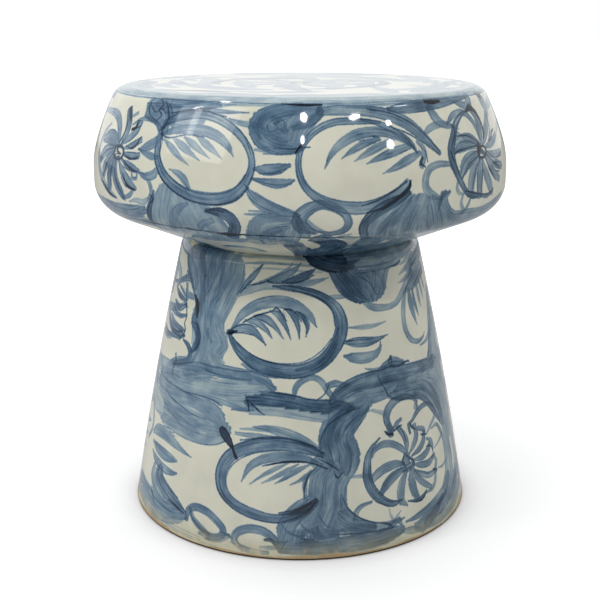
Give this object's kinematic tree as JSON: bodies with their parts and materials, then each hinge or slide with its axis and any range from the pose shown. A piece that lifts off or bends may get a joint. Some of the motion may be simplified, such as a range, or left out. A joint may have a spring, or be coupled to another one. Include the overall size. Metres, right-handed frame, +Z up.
{
  "type": "garden stool",
  "caption": "Mushroom-shaped ceramic garden stool: a round pillow seat on a flared hollow pedestal, painted with flowers and scrolls",
  "frame": {"origin": "on the floor at the middle of the foot ring", "axes": "+Z up along the stool's axis of revolution, -Y towards the picture's camera, +X to the right in the picture"},
  "size_m": [0.4299, 0.43, 0.45],
  "materials": {
    "painted_glaze": "glossy clear glaze over blue brush painting on an off-white ground",
    "bare_clay": "unglazed fired clay, matt"
  },
  "bodies": {
    "root": {"seat_top_disc": "painted_glaze", "seat_side_wall": "painted_glaze", "seat_underside_dish": "painted_glaze", "pedestal_wall": "painted_glaze", "foot_ring": "bare_clay", "top_seam_coil": "bare_clay", "rim_seam_coil": "bare_clay", "neck_seam_coil": "bare_clay", "foot_seam_coil": "bare_clay"}
  },
  "joints": []
}
